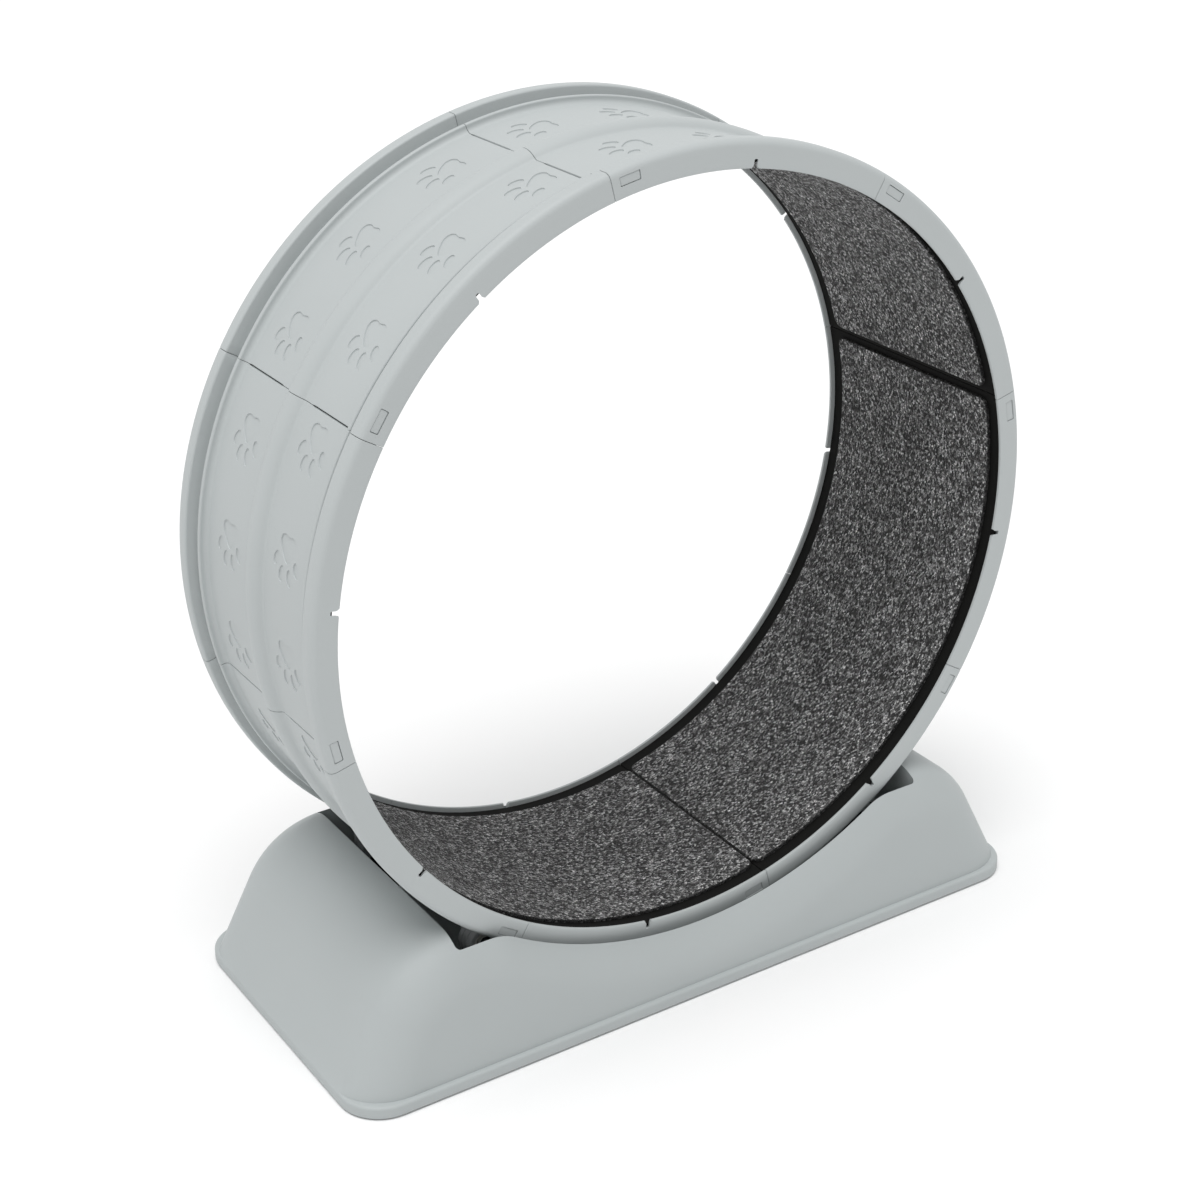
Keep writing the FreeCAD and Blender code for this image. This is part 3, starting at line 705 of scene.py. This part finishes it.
def sheet_mesh(name, half_angle, half_wide, corner, top, bottom, finish, soft):
    """A curved sheet of the lining with rounded corners and a softly rounded edge. Its map
    is in metres along and across the sheet, and round the edge in a strip of its own."""
    mesh = bmesh.new()
    scale = math.radians(1) * top
    half_long = half_angle * scale
    outline = rounded_outline(half_long, half_wide, corner, 6)
    dense = []
    for (ax, ay), (bx, by) in zip(outline, outline[1:] + outline[:1]):
        parts = max(1, int(math.dist((ax, ay), (bx, by)) / OUTLINE_STEP))
        dense += [(ax + (bx - ax) * i / parts, ay + (by - ay) * i / parts) for i in range(parts)]
    inner = inset(dense, soft)
    points = list(inner)
    for along in spread(-half_long, half_long, int(half_long / COLUMN_STEP)):
        for across in spread(-half_wide, half_wide, ACROSS_STEPS):
            point = (along, across)
            if inside(point, inner) and not near(point, [inner], CLEAR_OF_EDGE):
                points.append(point)
    flat, faces, origins = triangles(points, loop_edges(0, len(inner)))
    layer = mesh.loops.layers.uv.new("sheet")
    for level, flip in ((top, False), (bottom, True)):
        verts = corners(mesh, [on_ring(x / scale, y, level) for x, y in flat])
        for face in faces:
            order = face[::-1] if flip else face
            made = mesh.faces.new([verts[i] for i in order])
            for corner_loop, i in zip(made.loops, order):
                corner_loop[layer].uv = (flat[i][0] * MM, flat[i][1] * MM)
    rings = [(inner, top), (dense, top + soft * 0.5), (dense, bottom - soft * 0.3),
             (inner, bottom)]
    loops = [corners(mesh, [on_ring(x / scale, y, level) for x, y in loop])
             for loop, level in rings]
    along = [0.0]
    for here, there in zip(dense, dense[1:] + dense[:1]):
        along.append(along[-1] + math.dist(here, there))
    for (low, high), (upper, lower) in zip(zip(loops, loops[1:]), zip(rings, rings[1:])):
        for i in range(len(low)):
            j = (i + 1) % len(low)
            made = mesh.faces.new([low[i], low[j], high[j], high[i]])
            places = ((i, upper), (i + 1, upper), (i + 1, lower), (i, lower))
            for corner_loop, (k, (loop, level)) in zip(made.loops, places):
                corner_loop[layer].uv = (along[k] * MM, EDGE_STRIP + level * MM)
    return finish_mesh(mesh, name, finish, SHARP_SHEET_EDGE)


def make_lining():
    """Four backing sheets and four carpets, with one wide joint between two carpets."""
    joints = [CARPET_JOINT / 2, WIDE_JOINT / 2] + [CARPET_JOINT / 2] * 3
    backing = sheet_mesh("backing_sheet",
                         SEGMENT_ANGLE - degrees(BACKING_JOINT / 2, BACKING_TOP), BACKING_EDGE,
                         BACKING_CORNER, BACKING_TOP, BACKING_BOTTOM, FOAM, BACKING_SOFT)
    for index in range(LINING_PIECES):
        middle = 90 - FIRST_SEAM + SEGMENT_ANGLE * (2 * index + 1)
        made = piece("backing_sheet_%d" % (index + 1), backing, "wheel",
                     middle, (0, 0, AXLE_HEIGHT))
        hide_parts("mat_backing_%d" % (index + 1))
        before, after = joints[index], joints[index + 1]
        half = SEGMENT_ANGLE - degrees((before + after) / 2, CARPET_TOP)
        shift = degrees((before - after) / 2, CARPET_TOP)
        data = sheet_mesh("carpet_sheet_%d" % (index + 1), half, CARPET_EDGE, CARPET_CORNER,
                          CARPET_TOP, CARPET_BOTTOM, CARPET, CARPET_SOFT)
        made = piece("carpet_sheet_%d" % (index + 1), data, "wheel",
                     middle + shift, (0, 0, AXLE_HEIGHT))
        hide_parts("carpet_%d" % (index + 1))


# ---------------------------------------------------------------- base
# A half is (along, across).
BASE_HALF = (400.0, 179.0)
BASE_CORNER = 44.0
BASE_BOTTOM = 1.5
BASE_TOP = 146.0
BASE_WALL = 3.5
STRIP_TOP = 14.0
STRIP_ROUND = 3.0
STRIP_CHAMFER = 0.8
BODY_WIDTH = 175.0
END_FOOT = 405.5
END_SLOPE = 26.5
LEAN = 4.5
HUMP_END = 100.0
HUMP_SIDE = 60.0
SADDLE = RIM_RADIUS - 23.0
EDGE_ROUND = 48.0
WELL_HALF = (277.0, 148.0)
WELL_CORNER = 5.0
WELL_FLOOR = 20.0
RIB_PLACE = 60.0
RIB_HALF = 1.5
FOOT_PLACE = (350.0, 130.0)
FOOT_HALF = 16.3
FOOT_SEAT = 4.0
POST_WALL = 2.5
DEEP = -70.0    # where the end slopes run to, before they are cut off at the bottom
PAST = 10.0     # how far a cut runs on above the top
SHARP_MOULDING = 30.0


def faced(centre, radius, start, end, steps, turn):
    """An arc's points, each with the way that the surface faces there."""
    facings = spread(start, end, steps)
    return [(x, z, facing + turn)
            for (x, z), facing in zip(arc(centre, radius, start, end, steps), facings)]


def base_outline(drawn):
    """The base's outline from end to end, drawn in: (x, z, the way it faces in degrees)."""
    axle = AXLE_HEIGHT / MM
    top = BASE_TOP - drawn
    slope = math.radians(END_SLOPE)
    bend, side = HUMP_END - drawn, HUMP_SIDE - drawn

    def end_x(height):
        return END_FOOT - height * math.tan(slope) - drawn / math.cos(slope)

    crest_x = end_x(top) - bend * math.tan((math.pi / 2 - slope) / 2)
    shoulder_x = math.sqrt((SADDLE + HUMP_SIDE) ** 2 - (axle - top + side) ** 2)
    meet = math.degrees(math.atan2(axle - top + side, -shoulder_x))
    start_z = top - bend + bend * math.sin(slope)
    half = [(end_x(z), z, END_SLOPE) for z in spread(DEEP, start_z, 8)[:-1]]
    half += faced((crest_x, top - bend), bend, END_SLOPE, 90, 14, 0)
    half += faced((shoulder_x, top - side), side, 90, meet, 8, 0)
    half += faced((0, axle), SADDLE + drawn, meet - 180, -90, 22, 180)[1:]
    return half + [(-x, z, 180 - facing) for x, z, facing in half[-2::-1]]


def base_form(drawn, bottom):
    """The humps and saddle as a closed mesh, rounded along front and rear and leaning in,
    all drawn in by an even amount and cut off flat at the bottom."""
    width, edge = BODY_WIDTH - drawn, EDGE_ROUND - drawn
    half = [(across, 0.0) for across in spread(0, width - edge, 5)]
    half += [(width - edge + edge * math.sin(math.radians(turn)),
              edge * (1 - math.cos(math.radians(turn)))) for turn in spread(0, 90, 9)[1:]]
    section = [(-across, drop) for across, drop in half[:0:-1]] + half
    lean = math.tan(math.radians(LEAN)) / width
    mesh = bmesh.new()
    rows = []
    for x, z, facing in base_outline(drawn):
        turn = math.radians(facing)
        row = []
        for across, drop in section:
            height = z - drop * math.sin(turn)
            row.append(Vector((x - drop * math.cos(turn), across * (1 - height * lean), height)))
        rows.append(row)
    skin(mesh, [corners(mesh, [place * MM for place in row]) for row in rows], False)
    for end in (0, -1):
        loop = [(row[end].x, row[end].z) for row in rows]
        across = section[end][0]
        flat, faces, origins = triangles(loop, loop_edges(0, len(loop)))
        patch(mesh, faces, [Vector((x, across * (1 - z * lean), z)) * MM for x, z in flat])
    bmesh.ops.remove_doubles(mesh, verts=mesh.verts, dist=0.00001)
    bmesh.ops.bisect_plane(mesh, geom=mesh.verts[:] + mesh.edges[:] + mesh.faces[:],
                           plane_co=(0, 0, bottom * MM), plane_no=(0, 0, 1), clear_inner=True)
    rim = [edge for edge in mesh.edges if len(edge.link_faces) == 1]
    bmesh.ops.holes_fill(mesh, edges=rim)
    return mesh


def prism(mesh, loop, levels):
    """A closed upright form from a loop of (x, y) and levels of (z, how far drawn in)."""
    rings = [corners(mesh, [Vector((x, y, level)) * MM for x, y in inset(loop, drawn)])
             for level, drawn in levels]
    skin(mesh, rings)
    mesh.faces.new(rings[0][::-1])
    mesh.faces.new(rings[-1])


def block(mesh, middle, half, low, high):
    """An upright box about a middle place."""
    (x, y), (a, b) = middle, half
    prism(mesh, [(x + a, y - b), (x + a, y + b), (x - a, y + b), (x - a, y - b)],
          [(low, 0.0), (high, 0.0)])


def solid(name, mesh):
    """A closed mesh as an object to cut or to cut with."""
    bmesh.ops.recalc_face_normals(mesh, faces=mesh.faces)
    data = bpy.data.meshes.new(name)
    mesh.to_mesh(data)
    mesh.free()
    made = bpy.data.objects.new(name, data)
    bpy.context.collection.objects.link(made)
    return made


def combine(target, tool, operation):
    """Join the tool to the target, or cut it away, and clear the tool off the bench."""
    change = target.modifiers.new("combine", "BOOLEAN")
    change.operation = operation
    change.solver = "EXACT"
    change.object = tool
    bpy.context.view_layer.update()
    evaluated = target.evaluated_get(bpy.context.evaluated_depsgraph_get())
    data = bpy.data.meshes.new_from_object(evaluated)
    target.modifiers.clear()
    target.data = data
    bpy.data.objects.remove(tool)


def base_body():
    """The outer form with its foot strip round the bottom."""
    body = solid("base_body", base_form(0.0, STRIP_TOP - STRIP_ROUND))
    strip = bmesh.new()
    levels = [(BASE_BOTTOM, STRIP_CHAMFER), (BASE_BOTTOM + STRIP_CHAMFER, 0.0)]
    levels += [(STRIP_TOP - STRIP_ROUND * (1 - math.sin(math.radians(turn))),
                STRIP_ROUND * (1 - math.cos(math.radians(turn)))) for turn in spread(0, 90, 5)]
    prism(strip, rounded_outline(*BASE_HALF, BASE_CORNER, 12), levels)
    combine(body, solid("strip", strip), "UNION")
    return body


def foot_places():
    """The middles of the four rubber feet."""
    return [(x * FOOT_PLACE[0], y * FOOT_PLACE[1]) for x in (-1, 1) for y in (-1, 1)]


def base_room():
    """The room under the skin, round the well, between the ribs and the foot posts."""
    room = solid("base_room", base_form(BASE_WALL, 0.0))
    limit = bmesh.new()
    prism(limit, rounded_outline(BASE_HALF[0] - BASE_WALL, BASE_HALF[1] - BASE_WALL,
                                 BASE_CORNER - BASE_WALL, 12),
          [(-1.0, 0.0), (BASE_TOP + PAST, 0.0)])
    combine(room, solid("limit", limit), "INTERSECT")
    well = bmesh.new()
    prism(well, rounded_outline(WELL_HALF[0] + BASE_WALL, WELL_HALF[1] + BASE_WALL,
                                WELL_CORNER + BASE_WALL, 6),
          [(WELL_FLOOR, 0.0), (BASE_TOP + PAST, 0.0)])
    combine(room, solid("well_outside", well), "DIFFERENCE")
    ribs = bmesh.new()
    for side in (-1, 1):
        block(ribs, (0, side * RIB_PLACE), (BASE_HALF[0], RIB_HALF), BASE_BOTTOM, BASE_TOP)
    combine(room, solid("ribs", ribs), "DIFFERENCE")
    posts = bmesh.new()
    for place in foot_places():
        block(posts, place, (FOOT_HALF + POST_WALL,) * 2, BASE_BOTTOM, BASE_TOP)
    combine(room, solid("posts", posts), "DIFFERENCE")
    return room


def make_base():
    """The moulded base: the body less its room, the well and the seats of the feet."""
    body = base_body()
    combine(body, base_room(), "DIFFERENCE")
    cuts = bmesh.new()
    prism(cuts, rounded_outline(*WELL_HALF, WELL_CORNER, 6),
          [(WELL_FLOOR + BASE_WALL, 0.0), (BASE_TOP + PAST, 0.0)])
    for place in foot_places():
        block(cuts, place, (FOOT_HALF, FOOT_HALF), 0.0, FOOT_SEAT)
    combine(body, solid("cuts", cuts), "DIFFERENCE")
    mesh = bmesh.new()
    mesh.from_mesh(body.data)
    bpy.data.objects.remove(body)
    data = finish_mesh(mesh, "base_moulding", BASE_PLASTIC, SHARP_MOULDING)
    made = piece("base_moulding", data, "base")
    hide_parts("base_shell")


# ---------------------------------------------------------------- rollers and screws
CORNERS = {"front_left": (-1, -1), "front_right": (1, -1),
           "rear_left": (-1, 1), "rear_right": (1, 1)}
TYRE_HALF = 11.0
TYRE_RADIUS = 18.0
TYRE_BORE = 13.1
TYRE_SHOULDER = 1.4
TREAD_GROOVE = (4.0, 0.7)    # its place along the tyre, and its depth
HUB_RADIUS = 13.0
HUB_BORE = 4.05
HUB_DISH = 4.0
ROLLER_GAP = 0.3
ROLLER_DISTANCE = RAIL_CREST + ROLLER_GAP + TYRE_RADIUS
ROLLER_ANGLE = math.radians(34.0)
ROLLER_ACROSS = 108.0
SCREW_ACROSS = 20.5
SCREW_SEAT = 28.5
SCREW_SUNK = 0.5
SCREW_RADIUS = 4.4
SCREW_HEIGHT = 3.0
SCREW_DOME = 55.0
SOCKET_HALF = 2.3
SOCKET_DEPTH = 1.8
SCREW_STEPS = 48
SHARP_SMALL = 30.0


def turned(name, profile, finish, steps=64):
    """A round closed form about the Y axis from its profile: a loop of (y, radius)."""
    mesh = bmesh.new()
    rings = []
    for i in range(steps):
        turn = math.tau * i / steps
        rings.append(corners(mesh, [Vector((r * math.cos(turn), y, r * math.sin(turn))) * MM
                                    for y, r in profile]))
    skin(mesh, rings + rings[:1])
    return finish_mesh(mesh, name, finish, SHARP_SMALL)


def both_ways(half):
    """The half profile and its mirror image, as one loop."""
    return half + [(-y, r) for y, r in half[::-1]]


def tyre_profile():
    """A tread with rounded shoulders and two shallow grooves."""
    groove, deep = TREAD_GROOVE
    shoulder = (-TYRE_HALF + TYRE_SHOULDER, TYRE_RADIUS - TYRE_SHOULDER)
    half = [(-TYRE_HALF + 0.3, TYRE_BORE), (-TYRE_HALF, TYRE_BORE + 0.3)]
    half += arc(shoulder, TYRE_SHOULDER, 180, 90, 5)
    half += [(-groove - 0.8, TYRE_RADIUS), (-groove - 0.4, TYRE_RADIUS - deep),
             (-groove + 0.4, TYRE_RADIUS - deep), (-groove + 0.8, TYRE_RADIUS)]
    return both_ways(half)


def hub_profile():
    """A nylon hub, dished between its boss and its rim."""
    dish = -TYRE_HALF + HUB_DISH
    return both_ways([(-TYRE_HALF, HUB_BORE + 0.3), (-TYRE_HALF, HUB_BORE + 2.6),
                      (-TYRE_HALF + 0.4, HUB_BORE + 3.0), (dish, HUB_BORE + 3.4),
                      (dish, HUB_RADIUS - 2.6), (-TYRE_HALF + 0.4, HUB_RADIUS - 2.0),
                      (-TYRE_HALF, HUB_RADIUS - 1.6), (-TYRE_HALF, HUB_RADIUS - 0.4),
                      (-TYRE_HALF + 0.4, HUB_RADIUS)])


def screw_mesh():
    """A button head with a hexagon socket, standing on the origin."""
    turns = [360.0 * i / SCREW_STEPS for i in range(SCREW_STEPS)]
    hexagon = [SOCKET_HALF / math.cos(math.radians(turn % 60 - 30)) for turn in turns]
    dome = [(SCREW_RADIUS * math.cos(math.radians(rise)),
             SCREW_HEIGHT * math.sin(math.radians(rise))) for rise in spread(0, SCREW_DOME, 6)]
    top = dome[-1][1]
    levels = [([SCREW_RADIUS] * SCREW_STEPS, -SCREW_SUNK)]
    levels += [([reach] * SCREW_STEPS, level) for reach, level in dome]
    levels += [(hexagon, top), (hexagon, top - SOCKET_DEPTH)]
    mesh = bmesh.new()
    rings = [corners(mesh, [Vector((reach * math.cos(math.radians(turn)),
                                    reach * math.sin(math.radians(turn)), level)) * MM
                            for reach, turn in zip(reaches, turns)])
             for reaches, level in levels]
    skin(mesh, rings)
    mesh.faces.new(rings[-1])
    mesh.faces.new(rings[0][::-1])
    return finish_mesh(mesh, "screw", STEEL, SHARP_SMALL)


def make_rollers():
    """The tyres, hubs and bracket screws at the four corners of the well."""
    tyre = turned("tyre", tyre_profile(), TYRE)
    hub = turned("hub", hub_profile(), NYLON)
    screw = screw_mesh()
    reach = ROLLER_DISTANCE * math.sin(ROLLER_ANGLE) * MM
    height = AXLE_HEIGHT - ROLLER_DISTANCE * math.cos(ROLLER_ANGLE) * MM
    for corner, (side_x, side_y) in CORNERS.items():
        centre = (side_x * reach, side_y * ROLLER_ACROSS * MM, height)
        body = "roller_" + corner
        made = piece("tread_" + corner, tyre, body, 0.0, centre)
        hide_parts("roller_tyre_" + corner)
        made = piece("hub_" + corner, hub, body, 0.0, centre)
        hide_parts("roller_hub_" + corner)
        for name, side in (("front", -1), ("rear", 1)):
            place = (centre[0], centre[1] + side * SCREW_ACROSS * MM, SCREW_SEAT * MM)
            piece("screw_%s_%s" % (corner, name), screw, "base", 0.0, place)


# ---------------------------------------------------------------- carried-over nodes
NODE_FINISHES = {"roller_bracket": BRACKET, "roller_pin": STEEL, "rubber_feet": FOOT}


def finish_nodes():
    """Give the nodes that stay as they are in the CAD their finishes."""
    for name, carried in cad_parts.items():
        for start, finish in NODE_FINISHES.items():
            if name.startswith(start):
                for slot in carried.material_slots:
                    slot.material = finish


# ---------------------------------------------------------------- stage
CAMERA_PLACE = (-1.0973, -1.6605, 1.3185)
CAMERA_YAW = 32.976
CAMERA_PITCH = 25.639
CAMERA_ROLL = 0.455
CAMERA_LENS = 66.57
SENSOR_WIDTH = 36.0
FLOOR_HALF = 12.0
FLOOR_TONES = (0.94, 0.96)
SURROUND = 0.55
LAMP_ENERGY = 1.95
LAMP_ANGLE = 45.0
LAMP_TILT = (8.0, -10.0)


def make_camera():
    """The camera at the photograph's place: yaw from +Y towards +X, pitch downward."""
    lens = bpy.data.cameras.new("camera")
    lens.lens = CAMERA_LENS
    lens.sensor_width = SENSOR_WIDTH
    lens.clip_end = 50.0
    camera = bpy.data.objects.new("camera", lens)
    turn = (Matrix.Rotation(math.radians(-CAMERA_YAW), 4, "Z")
            @ Matrix.Rotation(math.radians(90 - CAMERA_PITCH), 4, "X")
            @ Matrix.Rotation(math.radians(-CAMERA_ROLL), 4, "Z"))
    camera.matrix_world = Matrix.Translation(CAMERA_PLACE) @ turn
    bpy.context.collection.objects.link(camera)
    bpy.context.scene.camera = camera


def make_floor():
    """A plain pale floor that keeps the shadow."""
    def build(tree, shader):
        place = node(tree, "ShaderNodeTexCoord").outputs["Object"]
        tone = node(tree, "ShaderNodeTexNoise", {"Vector": place, "Scale": 3.0})
        colour = ramp(tree, tone.outputs["Fac"], [(0.0, FLOOR_TONES[0]), (1.0, FLOOR_TONES[1])])
        tree.links.new(colour, shader.inputs["Base Color"])
        shader.inputs["Roughness"].default_value = 0.9
        shader.inputs["Specular IOR Level"].default_value = 0.0
    mesh = bmesh.new()
    bmesh.ops.create_grid(mesh, x_segments=4, y_segments=4, size=FLOOR_HALF)
    data = bpy.data.meshes.new("studio_floor")
    mesh.to_mesh(data)
    mesh.free()
    data.materials.append(material("studio_floor", build))
    floor = bpy.data.objects.new("studio_floor", data)
    bpy.context.collection.objects.link(floor)


def make_light():
    """A pale surround that is white to the camera, and one very soft lamp from above."""
    world = bpy.data.worlds.new("studio")
    bpy.context.scene.world = world
    world.use_nodes = True
    tree = world.node_tree
    back = tree.nodes["Background"]
    path = node(tree, "ShaderNodeLightPath")
    seen = node(tree, "ShaderNodeMath", {0: path.outputs["Is Camera Ray"],
                                         1: path.outputs["Is Glossy Ray"]}, operation="MAXIMUM")
    level = node(tree, "ShaderNodeMapRange", {"Value": seen.outputs[0],
                                              "To Min": SURROUND, "To Max": 1.0})
    tree.links.new(level.outputs[0], back.inputs["Strength"])
    back.inputs["Color"].default_value = (1, 1, 1, 1)
    lamp = bpy.data.lights.new("soft_lamp", "SUN")
    lamp.energy = LAMP_ENERGY
    lamp.angle = math.radians(LAMP_ANGLE)
    sun = bpy.data.objects.new("soft_lamp", lamp)
    sun.matrix_world = (Matrix.Rotation(math.radians(LAMP_TILT[1]), 4, "Y")
                        @ Matrix.Rotation(math.radians(LAMP_TILT[0]), 4, "X"))
    bpy.context.collection.objects.link(sun)


make_ring()
make_lining()
make_base()
make_rollers()
finish_nodes()
make_camera()
make_floor()
make_light()
bpy.context.scene.view_settings.view_transform = "Standard"
